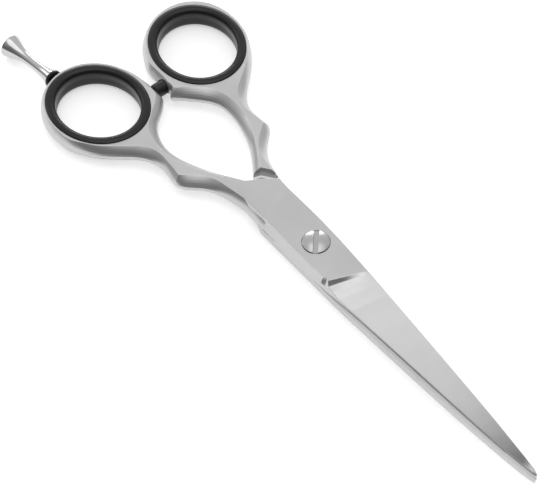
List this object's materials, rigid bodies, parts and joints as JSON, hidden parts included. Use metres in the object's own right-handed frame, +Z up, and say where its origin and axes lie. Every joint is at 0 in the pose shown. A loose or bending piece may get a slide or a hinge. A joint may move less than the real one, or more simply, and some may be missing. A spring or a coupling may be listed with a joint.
{
  "type": "hair cutting shears",
  "caption": "Right-handed hair cutting shears with pivoting blades, soft oval finger inserts, a bumper and a screw-on finger rest.",
  "frame": {"origin": "on the pivot axis, in the plane the closed shears lie on (the underside of the lower ricasso)", "axes": "+X from the pivot towards the blade tips, +Z up through the screw head, +Y towards the thumb ring's side"},
  "size_m": [0.1953, 0.0641, 0.0073],
  "materials": {
    "steel": "satin ground stainless steel",
    "screw_steel": "polished stainless steel",
    "chrome": "mirror polished",
    "soft_black": "smooth black rubber with a soft sheen",
    "washer_plastic": "dull black plastic"
  },
  "bodies": {
    "thumb": {"thumb_half": "steel", "thumb_ring_insert": "soft_black", "bumper": "soft_black", "glide_washer": "washer_plastic"},
    "finger": {"finger_half": "steel", "finger_ring_insert": "soft_black", "finger_rest": "chrome", "finger_rest_washer": "washer_plastic"},
    "screw": {"pivot_screw": "screw_steel"}
  },
  "joints": [
    {"name": "pivot", "type": "hinge", "parent": "thumb", "child": "finger", "pos_m": [0, 0, 0], "axis": [0, 0, 1], "range_deg": [0, 110]},
    {"name": "tension_screw", "type": "hinge", "parent": "thumb", "child": "screw", "pos_m": [0, 0, 0], "axis": [0, 0, 1], "range_deg": [-45, 45]}
  ]
}
